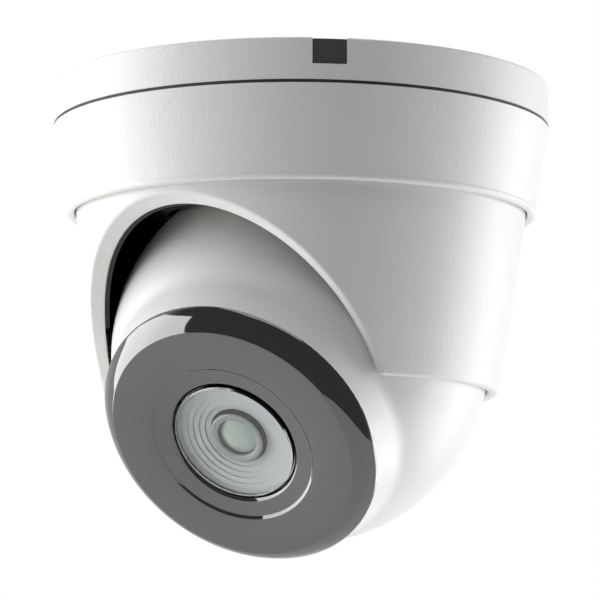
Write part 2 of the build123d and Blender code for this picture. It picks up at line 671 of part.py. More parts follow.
# Rear cover: the back of the sphere, with the shoulder that turns on the carriage's neck.
cover_split_d = BALL_SPLIT_D - 0.1
with BuildPart() as ball_rear_cover:
    with BuildSketch(ball_section):
        with BuildLine():
            rim = (rear_rim_r, -sphere_radius(BALL_R, rear_rim_r))
            cover_out = (sphere_radius(BALL_R, cover_split_d), cover_split_d)
            cover_in = (sphere_radius(ball_in_r, cover_split_d), cover_split_d)
            shoulder_out = (sphere_radius(ball_in_r, shoulder_front_d), shoulder_front_d)
            Line(cover_in, cover_out)
            sphere_arc(BALL_R, cover_split_d, rim[1])
            Polyline(
                rim, (rear_rim_r, shoulder_back_d), (NECK_R + BORE_GAP, shoulder_back_d),
                (NECK_R + BORE_GAP, shoulder_front_d), shoulder_out,
            )
            sphere_arc(ball_in_r, shoulder_front_d, cover_split_d)
        make_face()
    revolve(axis=optical_axis)
    with BuildSketch(face_plane.offset(shoulder_front_d)):
        with PolarLocations(BALL_SCREW_R, BALL_SCREW_COUNT, start_angle=45):
            Circle(2.4)
    extrude(amount=BULKHEAD_D - 0.05 - shoulder_front_d)
    with BuildSketch(face_plane.offset(shoulder_back_d)):
        with PolarLocations(BALL_SCREW_R, BALL_SCREW_COUNT, start_angle=45):
            Circle(SCREW_SHANK_R + 0.1)
    extrude(amount=BALL_R, mode=Mode.SUBTRACT)
    with BuildSketch(face_plane.offset(shoulder_back_d)):
        with PolarLocations(BALL_SCREW_R, BALL_SCREW_COUNT, start_angle=45):
            Circle(BALL_SCREW_HEAD_R + 0.1)
    extrude(amount=1.5, mode=Mode.SUBTRACT)
ball_rear_cover.part.label = "ball_rear_cover"
export_step(ball_rear_cover.part, "parts/ball_rear_cover.step")

# Bulkhead that seals the electronics from the open rear of the ball.
with BuildPart() as ball_bulkhead:
    with BuildSketch(face_plane.offset(BULKHEAD_D)):
        Circle(sphere_radius(ball_in_r, BULKHEAD_D) - FIT_GAP)
        Circle(GLAND_R, mode=Mode.SUBTRACT)
        with PolarLocations(BALL_SCREW_R, BALL_SCREW_COUNT, start_angle=45):
            Circle(SCREW_SHANK_R + 0.1, mode=Mode.SUBTRACT)
    extrude(amount=BULKHEAD_T)
    with BuildSketch(ball_section):
        with Locations((seal_ring_r, ledge_back_d)):
            Circle(seal_r)
    revolve(axis=optical_axis, mode=Mode.SUBTRACT)
ball_bulkhead.part.label = "ball_bulkhead"
export_step(ball_bulkhead.part, "parts/ball_bulkhead.step")

# Rubber ring in the groove between bulkhead and front shell.
with BuildPart() as bulkhead_seal:
    with BuildSketch(ball_section):
        with Locations((seal_ring_r, ledge_back_d)):
            Circle(seal_r - 0.02)
    revolve(axis=optical_axis)
bulkhead_seal.part.label = "bulkhead_seal"
export_step(bulkhead_seal.part, "parts/bulkhead_seal.step")

# Long screws through rear cover and bulkhead into the front shell.
with BuildPart() as ball_screws:
    with BuildSketch(face_plane.offset(shoulder_back_d + 0.2)):
        with PolarLocations(BALL_SCREW_R, BALL_SCREW_COUNT, start_angle=45):
            Circle(BALL_SCREW_HEAD_R)
    extrude(amount=1.3)
    with BuildSketch(face_plane.offset(shoulder_back_d + 1.5)):
        with PolarLocations(BALL_SCREW_R, BALL_SCREW_COUNT, start_angle=45):
            Circle(SCREW_SHANK_R - 0.02)
    extrude(amount=ledge_back_d + 6.0 - shoulder_back_d - 1.5)
ball_screws.part.label = "ball_screws"
export_step(ball_screws.part, "parts/ball_screws.step")

# Rubber gland for the camera's lead, in the middle of the bulkhead.
with BuildPart() as cable_gland:
    with BuildSketch(ball_section):
        Polygon(
            (GLAND_BORE_R, BULKHEAD_D - 6.0), (GLAND_R - 1.2, BULKHEAD_D - 6.0), (GLAND_R, BULKHEAD_D - 2.0),
            (GLAND_R + 2.2, BULKHEAD_D - 2.0), (GLAND_R + 2.2, BULKHEAD_D), (GLAND_R - 0.02, BULKHEAD_D),
            (GLAND_R - 0.02, ledge_back_d), (GLAND_R + 1.5, ledge_back_d),
            (GLAND_R + 1.5, ledge_back_d + 1.5), (GLAND_BORE_R, ledge_back_d + 1.5), align=None,
        )
    revolve(axis=optical_axis)
cable_gland.part.label = "cable_gland"
export_step(cable_gland.part, "parts/cable_gland.step")

# Drying-agent pack stuck to the bulkhead.
with BuildPart() as desiccant_pack:
    with BuildSketch(face_plane.offset(ledge_back_d + 0.05)):
        with Locations((0, -19)):
            RectangleRounded(20, 10, 1.5)
    extrude(amount=3.0)
    fillet(desiccant_pack.faces().sort_by(optical_axis)[-1].edges(), 0.8)
desiccant_pack.part.label = "desiccant_pack"
export_step(desiccant_pack.part, "parts/desiccant_pack.step")

# ---------------------------------------------------------------- face
bezel_back_d = COLLAR_FRONT_D + BEZEL_SEAL_T
recess_floor_d = BEZEL_FRONT_D - RECESS_DEPTH
window_back_d = recess_floor_d - WINDOW_T
window_seat_r = WINDOW_R - 0.6

# Glossy infrared-pass bezel: side band, bevel, flat annulus and a shallow dish for the window.
with BuildPart() as front_bezel:
    with BuildSketch(ball_section):
        with BuildLine():
            bevel_out = (BEZEL_SIDE_R, BEZEL_SIDE_D)
            bevel_in = (BEZEL_FLAT_R, BEZEL_FRONT_D - 0.1)
            bevel_mid = ((BEZEL_SIDE_R + BEZEL_FLAT_R) / 2 + 0.15, (BEZEL_SIDE_D + BEZEL_FRONT_D) / 2 + 0.2)
            Line((COLLAR_FRONT_R, bezel_back_d), bevel_out)
            ThreePointArc(bevel_out, bevel_mid, bevel_in)
            Polyline(
                bevel_in, (RECESS_R, BEZEL_FRONT_D), (RECESS_FLOOR_R, recess_floor_d),
                (WINDOW_R + 0.05, recess_floor_d), (WINDOW_R + 0.05, window_back_d),
                (window_seat_r, window_back_d), (window_seat_r, window_back_d - 0.7),
                (RECESS_FLOOR_R + 2.0, window_back_d - 0.7),
                (RECESS_R + 1.5, BEZEL_FRONT_D - BEZEL_T), (SPIGOT_R - 1.8, BEZEL_FRONT_D - BEZEL_T - 0.2),
                (SPIGOT_R - 1.8, bezel_back_d - SPIGOT_H), (SPIGOT_R, bezel_back_d - SPIGOT_H),
                (SPIGOT_R, bezel_back_d), (COLLAR_FRONT_R, bezel_back_d),
            )
        make_face()
    revolve(axis=optical_axis)
front_bezel.part.label = "front_bezel"
export_step(front_bezel.part, "parts/front_bezel.step")

# Thin rubber seal between collar and bezel.
with BuildPart() as bezel_seal:
    with BuildSketch(face_plane.offset(COLLAR_FRONT_D)):
        Circle(COLLAR_FRONT_R - 0.25)
        Circle(collar_in_r, mode=Mode.SUBTRACT)
    extrude(amount=BEZEL_SEAL_T)
bezel_seal.part.label = "bezel_seal"
export_step(bezel_seal.part, "parts/bezel_seal.step")

# Clear window in front of the lens.
with BuildPart() as lens_window:
    with BuildSketch(face_plane.offset(window_back_d)):
        Circle(WINDOW_R)
    extrude(amount=WINDOW_T + 0.15)
    chamfer(lens_window.faces().sort_by(optical_axis)[-1].edges(), 0.25)
lens_window.part.label = "lens_window"
export_step(lens_window.part, "parts/lens_window.step")

# Stepped funnel that keeps stray infrared light off the lens.
baffle_top_d = window_back_d - 0.8
baffle_step_w = (BAFFLE_MOUTH_R - BAFFLE_THROAT_R) / BAFFLE_STEPS
funnel = [(BAFFLE_MOUTH_R, baffle_top_d)]
for step in range(1, BAFFLE_STEPS + 1):
    step_d = baffle_top_d - step * BAFFLE_STEP_H
    funnel.append((BAFFLE_MOUTH_R - (step - 1) * baffle_step_w, step_d))
    funnel.append((BAFFLE_MOUTH_R - step * baffle_step_w, step_d))
funnel_low_d = baffle_top_d - BAFFLE_STEPS * BAFFLE_STEP_H - 0.8
baffle_out_r = IR_BOARD_IN_R - 0.3
with BuildPart() as lens_baffle:
    with BuildSketch(ball_section):
        Polygon(
            (baffle_out_r, IR_BOARD_D - 1.5), (baffle_out_r, IR_BOARD_D + BOARD_T + 0.05),
            (baffle_out_r + 1.5, IR_BOARD_D + BOARD_T + 0.05), (baffle_out_r + 1.5, IR_BOARD_D + BOARD_T + 0.7),
            (baffle_out_r, IR_BOARD_D + BOARD_T + 0.7), (baffle_out_r, baffle_top_d), *funnel,
            (BAFFLE_THROAT_R, funnel_low_d), (baffle_out_r - 1.2, funnel_low_d),
            (baffle_out_r - 1.2, IR_BOARD_D - 1.5), align=None,
        )
    revolve(axis=optical_axis)
lens_baffle.part.label = "lens_baffle"
export_step(lens_baffle.part, "parts/lens_baffle.step")

# ---------------------------------------------------------------- infrared board
# Ring board with a notch for the ribbon.
with BuildPart() as ir_board:
    with BuildSketch(face_plane.offset(IR_BOARD_D)):
        Circle(IR_BOARD_OUT_R)
        Circle(IR_BOARD_IN_R, mode=Mode.SUBTRACT)
        with PolarLocations(IR_BOARD_OUT_R - 2.2, 3, start_angle=90):
            Circle(1.1, mode=Mode.SUBTRACT)
    extrude(amount=BOARD_T)
ir_board.part.label = "ir_board"
export_step(ir_board.part, "parts/ir_board.step")

# Infrared lamps: one group of domed solids.
with BuildPart() as ir_leds:
    with BuildSketch(face_plane.offset(IR_BOARD_D + BOARD_T)):
        with PolarLocations(LED_RING_R, LED_COUNT, start_angle=90 + 180 / LED_COUNT):
            Circle(LED_R)
    extrude(amount=LED_H)
    fillet(ir_leds.faces().group_by(optical_axis)[-1].edges(), LED_R * 0.7)
ir_leds.part.label = "ir_leds"
export_step(ir_leds.part, "parts/ir_leds.step")

# Daylight sensor that switches the infrared lamps.
with BuildPart() as light_sensor:
    with BuildSketch(face_plane.offset(IR_BOARD_D + BOARD_T)):
        with Locations((0, -LED_RING_R)):
            Rectangle(3.0, 3.0)
    extrude(amount=1.2)
    fillet(light_sensor.faces().sort_by(optical_axis)[-1].edges(), 0.3)
light_sensor.part.label = "light_sensor"
export_step(light_sensor.part, "parts/light_sensor.step")

# ---------------------------------------------------------------- lens and filter
sensor_front_d = SENSOR_BOARD_D + BOARD_T
thread_back_d = LENS_FRONT_D - LENS_HEAD_H - LENS_THREAD_H
head_back_d = LENS_FRONT_D - LENS_HEAD_H
holder_top_d = head_back_d - 0.8
slide_d = sensor_front_d + 5.0
block_top_d = thread_back_d - 0.4

# Holder screwed to the sensor board, with the lens thread and the filter's slideway.
with BuildPart() as lens_holder:
    with BuildSketch(face_plane.offset(sensor_front_d)):
        RectangleRounded(HOLDER_FLANGE_W, HOLDER_FLANGE_W, 1.5)
    extrude(amount=block_top_d - sensor_front_d)
    with BuildSketch(face_plane.offset(block_top_d)):
        Circle(HOLDER_R)
    extrude(amount=holder_top_d - block_top_d)
    with BuildSketch(face_plane.offset(sensor_front_d)):
        Rectangle(14.5, 12.5)
    extrude(amount=3.6, mode=Mode.SUBTRACT)
    with BuildSketch(face_plane.offset(sensor_front_d)):
        Circle(4.2)
    extrude(amount=holder_top_d - sensor_front_d, mode=Mode.SUBTRACT)
    with BuildSketch(face_plane.offset(thread_back_d - 0.2)):
        Circle(LENS_THREAD_R + THREAD_GAP)
    extrude(amount=holder_top_d - thread_back_d + 0.2, mode=Mode.SUBTRACT)
    with BuildSketch(face_plane.offset(slide_d)):
        Rectangle(HOLDER_FLANGE_W, FILTER_W + 0.3)
    extrude(amount=FILTER_T + 0.3, mode=Mode.SUBTRACT)
lens_holder.part.label = "lens_holder"
export_step(lens_holder.part, "parts/lens_holder.step")

# Filter slide with its day and night windows.
with BuildPart() as ir_cut_slide:
    with BuildSketch(face_plane.offset(slide_d + 0.15)):
        with Locations((IR_CUT_TRAVEL / 2, 0)):
            Rectangle(IR_CUT_TRAVEL + 8.6, FILTER_W)
        with Locations((0, 0), (IR_CUT_TRAVEL, 0)):
            Circle(2.9, mode=Mode.SUBTRACT)
    extrude(amount=FILTER_T)
ir_cut_slide.part.label = "ir_cut_slide"
export_step(ir_cut_slide.part, "parts/ir_cut_slide.step")

# Filter glasses in the slide.
with BuildPart() as filter_glasses:
    with BuildSketch(face_plane.offset(slide_d + 0.25)):
        with Locations((0, 0), (IR_CUT_TRAVEL, 0)):
            Circle(2.88)
    extrude(amount=FILTER_T - 0.2)
filter_glasses.part.label = "filter_glasses"
export_step(filter_glasses.part, "parts/filter_glasses.step")

# Small coil motor beside the holder that throws the slide.
with BuildPart() as ir_cut_motor:
    with BuildSketch(face_plane.offset(sensor_front_d + 0.05)):
        with Locations((0, HOLDER_FLANGE_W / 2 + 3.2)):
            RectangleRounded(11.0, 6.0, 1.0)
    extrude(amount=5.5)
ir_cut_motor.part.label = "ir_cut_motor"
export_step(ir_cut_motor.part, "parts/ir_cut_motor.step")

# Threaded lens barrel with a knurled head, turned to focus.
with BuildPart() as lens_barrel:
    with BuildSketch(ball_section):
        Polygon(
            (4.4, thread_back_d), (LENS_THREAD_R, thread_back_d), (LENS_THREAD_R, head_back_d),
            (LENS_HEAD_R, head_back_d), (LENS_HEAD_R, LENS_FRONT_D), (LENS_HEAD_R - 0.8, LENS_FRONT_D),
            (LENS_HEAD_R - 2.0, LENS_FRONT_D - 0.9), (LENS_HEAD_R - 2.0, LENS_FRONT_D - 3.5),
            (4.4, LENS_FRONT_D - 3.5), align=None,
        )
    revolve(axis=optical_axis)
    with BuildSketch(face_plane.offset(head_back_d)):
        with PolarLocations(LENS_HEAD_R + 0.15, 36):
            Circle(0.3)
    extrude(amount=LENS_HEAD_H - 1.2, mode=Mode.SUBTRACT)
lens_barrel.part.label = "lens_barrel"
export_step(lens_barrel.part, "parts/lens_barrel.step")

# Front glass element, domed outwards.
front_glass_r = LENS_HEAD_R - 2.0 - 0.02
front_glass_back_d = LENS_FRONT_D - 3.4
glass_centre_d = LENS_FRONT_D - 0.15 - GLASS_BALL_R
with BuildPart() as lens_front_glass:
    with BuildSketch(ball_section):
        with BuildLine():
            glass_edge = (front_glass_r, glass_centre_d + sphere_radius(GLASS_BALL_R, front_glass_r))
            glass_mid = (front_glass_r / 2, glass_centre_d + sphere_radius(GLASS_BALL_R, front_glass_r / 2))
            glass_top = (0, glass_centre_d + GLASS_BALL_R)
            Polyline(glass_top, (0, front_glass_back_d), (front_glass_r, front_glass_back_d), glass_edge)
            ThreePointArc(glass_edge, glass_mid, glass_top)
        make_face()
    revolve(axis=optical_axis)
lens_front_glass.part.label = "lens_front_glass"
export_step(lens_front_glass.part, "parts/lens_front_glass.step")

# Rear glass element at the sensor end of the barrel.
with BuildPart() as lens_rear_glass:
    with BuildSketch(face_plane.offset(thread_back_d + 0.5)):
        Circle(4.38)
    extrude(amount=2.2)
lens_rear_glass.part.label = "lens_rear_glass"
export_step(lens_rear_glass.part, "parts/lens_rear_glass.step")

# ---------------------------------------------------------------- boards and chassis
board_hole = SENSOR_BOARD_W / 2 - 3.0
chassis_front_d = CHASSIS_D + CHASSIS_T

# Aluminium chassis plate screwed to the front shell's bosses; it carries both boards.
with BuildPart() as chassis_plate:
    with BuildSketch(face_plane.offset(CHASSIS_D)):
        Circle(CHASSIS_R)
        Rectangle(16, 16, mode=Mode.SUBTRACT)
        with Locations((0, CHASSIS_R)):
            Rectangle(12, 9, mode=Mode.SUBTRACT)
        with PolarLocations(CHASSIS_SCREW_R, BALL_SCREW_COUNT, start_angle=45):
            Circle(SMALL_SHANK_R + 0.1, mode=Mode.SUBTRACT)
    extrude(amount=CHASSIS_T)
chassis_plate.part.label = "chassis_plate"
export_step(chassis_plate.part, "parts/chassis_plate.step")

with BuildPart() as chassis_screws:
    with BuildSketch(face_plane.offset(chassis_front_d)):
        with PolarLocations(CHASSIS_SCREW_R, BALL_SCREW_COUNT, start_angle=45):
            Circle(1.9)
    extrude(amount=1.3)
    with BuildSketch(face_plane.offset(chassis_front_d)):
        with PolarLocations(CHASSIS_SCREW_R, BALL_SCREW_COUNT, start_angle=45):
            Circle(SMALL_SHANK_R - 0.02)
    extrude(amount=-(CHASSIS_T + 3.8))
chassis_screws.part.label = "chassis_screws"
export_step(chassis_screws.part, "parts/chassis_screws.step")

# Square board with the image sensor.
with BuildPart() as sensor_board:
    with BuildSketch(face_plane.offset(SENSOR_BOARD_D)):
        RectangleRounded(SENSOR_BOARD_W, SENSOR_BOARD_W, 2.0)
        with GridLocations(2 * board_hole, 2 * board_hole, 2, 2):
            Circle(SMALL_SHANK_R, mode=Mode.SUBTRACT)
    extrude(amount=BOARD_T)
sensor_board.part.label = "sensor_board"
export_step(sensor_board.part, "parts/sensor_board.step")

with BuildPart() as image_sensor:
    with BuildSketch(face_plane.offset(sensor_front_d)):
        Rectangle(12.0, 10.0)
    extrude(amount=1.2)
    with BuildSketch(face_plane.offset(sensor_front_d + 1.0)):
        Rectangle(8.5, 6.5)
    extrude(amount=0.2, mode=Mode.SUBTRACT)
image_sensor.part.label = "image_sensor"
export_step(image_sensor.part, "parts/image_sensor.step")

# Standoffs: four in front of the chassis for the sensor board, four behind it for the main board.
main_front_d = MAIN_BOARD_D + BOARD_T
with BuildPart() as board_standoffs:
    with BuildSketch(face_plane.offset(chassis_front_d)):
        with GridLocations(2 * board_hole, 2 * board_hole, 2, 2):
            Circle(2.2)
            Circle(SMALL_SHANK_R, mode=Mode.SUBTRACT)
    extrude(amount=SENSOR_BOARD_D - chassis_front_d)
    with BuildSketch(face_plane.offset(main_front_d)):
        with PolarLocations(MAIN_BOARD_R - 4.0, 4, start_angle=45):
            Circle(2.2)
            Circle(SMALL_SHANK_R, mode=Mode.SUBTRACT)
    extrude(amount=CHASSIS_D - main_front_d)
board_standoffs.part.label = "board_standoffs"
export_step(board_standoffs.part, "parts/board_standoffs.step")

with BuildPart() as board_screws:
    with BuildSketch(face_plane.offset(sensor_front_d)):
        with GridLocations(2 * board_hole, 2 * board_hole, 2, 2):
            Circle(1.9)
    extrude(amount=1.2)
    with BuildSketch(face_plane.offset(sensor_front_d)):
        with GridLocations(2 * board_hole, 2 * board_hole, 2, 2):
            Circle(SMALL_SHANK_R - 0.02)
    extrude(amount=-(BOARD_T + 3.5))
    with BuildSketch(face_plane.offset(MAIN_BOARD_D)):
        with PolarLocations(MAIN_BOARD_R - 4.0, 4, start_angle=45):
            Circle(1.9)
    extrude(amount=-1.2)
    with BuildSketch(face_plane.offset(MAIN_BOARD_D)):
        with PolarLocations(MAIN_BOARD_R - 4.0, 4, start_angle=45):
            Circle(SMALL_SHANK_R - 0.02)
    extrude(amount=BOARD_T + 4.0)
board_screws.part.label = "board_screws"
export_step(board_screws.part, "parts/board_screws.step")

# Round main board with the processor and power parts.
with BuildPart() as main_board:
    with BuildSketch(face_plane.offset(MAIN_BOARD_D)):
        Circle(MAIN_BOARD_R)
        with PolarLocations(MAIN_BOARD_R - 4.0, 4, start_angle=45):
            Circle(SMALL_SHANK_R, mode=Mode.SUBTRACT)
    extrude(amount=BOARD_T)
main_board.part.label = "main_board"
export_step(main_board.part, "parts/main_board.step")

with BuildPart() as main_board_parts:
    with BuildSketch(face_plane.offset(MAIN_BOARD_D)):
        Rectangle(12, 12)
        with Locations((-14, 7), (-14, -7)):
            Rectangle(6, 4)
        with Locations((13, 9)):
            Rectangle(8, 5)
    extrude(amount=-1.6)
    with BuildSketch(face_plane.offset(MAIN_BOARD_D)):
        with Locations((13, -8), (6, -15)):
            Circle(2.5)
    extrude(amount=-4.5)
main_board_parts.part.label = "main_board_parts"
export_step(main_board_parts.part, "parts/main_board_parts.step")

# Flat ribbon from the infrared board to the main board, past the chassis notch.
ribbon_plane = Plane(origin=ball_centre, x_dir=face_plane.y_dir, z_dir=face_plane.y_dir.cross(face_normal))
ribbon_start_r = 21.5
with BuildPart() as led_ribbon:
    with BuildLine(ribbon_plane):
        FilletPolyline(
            (ribbon_start_r, IR_BOARD_D - 0.05), (ribbon_start_r, 28.5), (28.0, 24.0), (28.0, 1.5),
            (23.8, main_front_d + 0.25), radius=1.5,
        )
    with BuildSketch(face_plane.offset(IR_BOARD_D - 0.05)):
        with Locations((0, ribbon_start_r)):
            Rectangle(8.0, 0.3)
    sweep()
led_ribbon.part.label = "led_ribbon"
export_step(led_ribbon.part, "parts/led_ribbon.step")
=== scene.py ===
import json
from math import cos, hypot, radians, sin

import bpy
from mathutils import Matrix, Vector


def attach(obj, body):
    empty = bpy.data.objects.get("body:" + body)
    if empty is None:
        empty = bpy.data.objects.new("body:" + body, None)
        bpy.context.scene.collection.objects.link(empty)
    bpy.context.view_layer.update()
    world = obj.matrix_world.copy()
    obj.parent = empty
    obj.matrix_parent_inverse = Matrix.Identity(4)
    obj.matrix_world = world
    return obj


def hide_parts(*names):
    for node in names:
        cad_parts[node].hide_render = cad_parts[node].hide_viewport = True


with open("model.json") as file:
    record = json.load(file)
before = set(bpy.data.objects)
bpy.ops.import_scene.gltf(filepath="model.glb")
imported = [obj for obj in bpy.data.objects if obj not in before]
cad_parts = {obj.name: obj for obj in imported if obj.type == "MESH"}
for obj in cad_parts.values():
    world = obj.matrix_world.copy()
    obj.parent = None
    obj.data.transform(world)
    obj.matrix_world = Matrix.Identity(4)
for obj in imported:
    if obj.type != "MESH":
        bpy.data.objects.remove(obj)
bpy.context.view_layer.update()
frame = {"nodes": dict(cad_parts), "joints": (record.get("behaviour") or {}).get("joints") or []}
joints = {joint["name"]: joint for joint in frame["joints"]}
nodes = frame["nodes"]
mm = 0.001

# ---------------------------------------------------------------- studio
# A white light tent: a pale floor below, soft boxes at the left, at the right and above, and a dark
# gap where the camera stands. The camera looks slightly up at the object, as at a ceiling.
camera_turn = radians(-6.06)
camera_distance = 768.4 * mm
camera_height = -159.9 * mm
camera_pitch = radians(7.976)
camera_roll = radians(0.33)
floor_height = -430 * mm
middle = Vector((0, 0, -58 * mm))


def clear_selection():
    """Nothing stays selected, because an operator acts on all that is selected."""
    bpy.ops.object.select_all(action="DESELECT")


def around(turn, rise, distance):
    """Point at a distance from the object's middle; turn 0 is towards -Y, positive towards +X."""
    level = cos(radians(rise)) * distance
    height = sin(radians(rise)) * distance
    return middle + Vector((sin(radians(turn)) * level, -cos(radians(turn)) * level, height))


camera_place = (sin(camera_turn) * camera_distance, -cos(camera_turn) * camera_distance, camera_height)
bpy.ops.object.camera_add(location=camera_place)
camera = bpy.context.object
camera.name = "Camera"
camera.data.lens = 189.86
camera.data.sensor_width = 36
camera.data.shift_x = -0.0005
camera.data.clip_start = 0.05
looking = Matrix.Rotation(camera_turn, 4, "Z") @ Matrix.Rotation(radians(90) + camera_pitch, 4, "X")
camera.rotation_euler = (looking @ Matrix.Rotation(camera_roll, 4, "Z")).to_euler()
bpy.context.scene.camera = camera
bpy.context.scene.view_settings.view_transform = "Standard"


def soft_box(name, turn, rise, distance, width, height, power):
    """Large area lamp that faces the object."""
    place = around(turn, rise, distance)
    aim = (middle - place).to_track_quat("-Z", "Y").to_euler()
    bpy.ops.object.light_add(type="AREA", location=place, rotation=aim)
    lamp = bpy.context.object
    lamp.name = name
    lamp.data.shape = "RECTANGLE"
    lamp.data.size = width
    lamp.data.size_y = height
    lamp.data.energy = power


soft_box("Left_box", -98, 2, 1.2, 1.3, 1.2, 16.0)
soft_box("Right_box", 104, -16, 1.2, 0.9, 1.3, 14.0)
soft_box("Top_box", 0, 62, 1.6, 1.4, 1.4, 8.0)


def tent_world():
    """World light, white all round and dark behind the camera; the camera itself sees plain white."""
    world = bpy.data.worlds.new("Light_tent")
    bpy.context.scene.world = world
    world.use_nodes = True
    tree = world.node_tree
    background = tree.nodes["Background"]
    direction = tree.nodes.new("ShaderNodeTexCoord")
    towards = tree.nodes.new("ShaderNodeVectorMath")
    towards.operation = "DOT_PRODUCT"
    towards.inputs[1].default_value = (sin(camera_turn), -cos(camera_turn), 0.12)
    tree.links.new(direction.outputs["Generated"], towards.inputs[0])
    gap = tree.nodes.new("ShaderNodeMapRange")
    gap.interpolation_type = "SMOOTHSTEP"
    gap.inputs["From Min"].default_value = -0.1
    gap.inputs["From Max"].default_value = 0.3
    gap.inputs["To Min"].default_value = 0.85
    gap.inputs["To Max"].default_value = 0.14
    tree.links.new(towards.outputs["Value"], gap.inputs["Value"])
    ray = tree.nodes.new("ShaderNodeLightPath")
    seen = tree.nodes.new("ShaderNodeMix")
    seen.inputs["B"].default_value = 1.0
    tree.links.new(ray.outputs["Is Camera Ray"], seen.inputs["Factor"])
    tree.links.new(gap.outputs["Result"], seen.inputs["A"])
    tree.links.new(seen.outputs["Result"], background.inputs["Strength"])
    background.inputs["Color"].default_value = (1, 1, 1, 1)


tent_world()

clear_selection()
floor_radius = 0.7
bpy.ops.mesh.primitive_circle_add(
    vertices=96, radius=floor_radius, fill_type="NGON", location=(-0.15, 0.1, floor_height)
)
floor = bpy.context.object
floor.name = "Floor"

# ---------------------------------------------------------------- mounting base
# Die-cast aluminium base under a white powder coat, whose fine orange peel shows as a soft grain.
# A foam ring seals it to the ceiling, a rubber plug fills the side outlet, a gasket shows below.


def new_group(name, inputs, outputs):
    """Empty shader node group with number inputs and outputs; returns it with its two end nodes."""
    group = bpy.data.node_groups.new(name, "ShaderNodeTree")
    for label, value in inputs.items():
        socket = group.interface.new_socket(name=label, in_out="INPUT", socket_type="NodeSocketFloat")
        socket.default_value = value
    for label in outputs:
        group.interface.new_socket(name=label, in_out="OUTPUT", socket_type="NodeSocketFloat")
    start = group.nodes.new("NodeGroupInput")
    end = group.nodes.new("NodeGroupOutput")
    return group, start, end


def grain_group():
    """Surface grain: Height is a fine relief of the given pitch in mm, Tone a broad, soft cloud."""
    numbers = {"Pitch": 1.0, "Stretch": 1.0, "Detail": 2.0}
    group, start, end = new_group("surface_grain", numbers, ("Height", "Tone"))
    place = group.nodes.new("ShaderNodeTexCoord")
    per_metre = group.nodes.new("ShaderNodeMath")
    per_metre.operation = "DIVIDE"
    per_metre.inputs[0].default_value = 1000.0
    group.links.new(start.outputs["Pitch"], per_metre.inputs[1])
    squeeze = group.nodes.new("ShaderNodeCombineXYZ")
    squeeze.inputs["X"].default_value = 1.0
    squeeze.inputs["Y"].default_value = 1.0
    group.links.new(start.outputs["Stretch"], squeeze.inputs["Z"])
    stretched = group.nodes.new("ShaderNodeVectorMath")
    stretched.operation = "MULTIPLY"
    group.links.new(place.outputs["Object"], stretched.inputs[0])
    group.links.new(squeeze.outputs["Vector"], stretched.inputs[1])
    fine = group.nodes.new("ShaderNodeTexNoise")
    group.links.new(stretched.outputs["Vector"], fine.inputs["Vector"])
    group.links.new(per_metre.outputs["Value"], fine.inputs["Scale"])
    group.links.new(start.outputs["Detail"], fine.inputs["Detail"])
    group.links.new(fine.outputs["Fac"], end.inputs["Height"])
    cloud = group.nodes.new("ShaderNodeTexNoise")
    cloud.inputs["Scale"].default_value = 45.0
    cloud.inputs["Detail"].default_value = 3.0
    group.links.new(place.outputs["Object"], cloud.inputs["Vector"])
    group.links.new(cloud.outputs["Fac"], end.inputs["Tone"])
    return group


surface_grain = grain_group()


def shaded(name):
    """New material; returns its tree and its Principled shader."""
    material = bpy.data.materials.new(name)
    material.use_nodes = True
    return material, material.node_tree, material.node_tree.nodes["Principled BSDF"]


def add_node(tree, kind, **values):
    """Node with its inputs set by name; names with a space are given with an underscore."""
    node = tree.nodes.new(kind)
    for label, value in values.items():
        node.inputs[label.replace("_", " ")].default_value = value
    return node


def blend_colors(tree, factor, first, second):
    """Colour that goes from first to second with a factor socket."""
    mix = tree.nodes.new("ShaderNodeMix")
    mix.data_type = "RGBA"
    mix.inputs["A"].default_value = (*first, 1)
    mix.inputs["B"].default_value = (*second, 1)
    tree.links.new(factor, mix.inputs["Factor"])
    return mix.outputs["Result"]


def add_relief(tree, shader, height, distance):
    """Bump of a real depth in metres on the shader."""
    bump = add_node(tree, "ShaderNodeBump", Strength=1.0, Distance=distance)
    tree.links.new(height, bump.inputs["Height"])
    tree.links.new(bump.outputs["Normal"], shader.inputs["Normal"])


def grained(name, color, roughness, pitch, depth, shade=0.94, spread=0.08, stretch=1.0, **sockets):
    """Finish with a grain of a pitch and a depth in mm, and soft clouds in its colour and gloss."""
    material, tree, shader = shaded(name)
    grain = tree.nodes.new("ShaderNodeGroup")
    grain.node_tree = surface_grain
    grain.inputs["Pitch"].default_value = pitch
    grain.inputs["Stretch"].default_value = stretch
    grain.inputs["Detail"].default_value = 2.0
    cloud = add_node(tree, "ShaderNodeMapRange", From_Min=0.35, From_Max=0.65)
    tree.links.new(grain.outputs["Tone"], cloud.inputs["Value"])
    darker = [part * shade for part in color]
    tree.links.new(blend_colors(tree, cloud.outputs["Result"], darker, color), shader.inputs["Base Color"])
    gloss = add_node(tree, "ShaderNodeMapRange", From_Min=0.3, From_Max=0.7)
    gloss.inputs["To Min"].default_value = roughness - spread
    gloss.inputs["To Max"].default_value = roughness + spread
    tree.links.new(grain.outputs["Height"], gloss.inputs["Value"])
    tree.links.new(gloss.outputs["Result"], shader.inputs["Roughness"])
    add_relief(tree, shader, grain.outputs["Height"], depth * mm)
    for label, value in sockets.items():
        shader.inputs[label.replace("_", " ")].default_value = value
    return material


def paint(material, *pieces):
    """Gives pieces or CAD nodes one material all over."""
    for piece in pieces:
        thing = nodes[piece] if isinstance(piece, str) else piece
        if thing.material_slots:
            for slot in thing.material_slots:
                slot.material = material
        else:
            thing.data.materials.append(material)


paint(grained("Pale_floor", (0.86, 0.86, 0.85), 0.8, 4.0, 0.05, 0.98), floor)

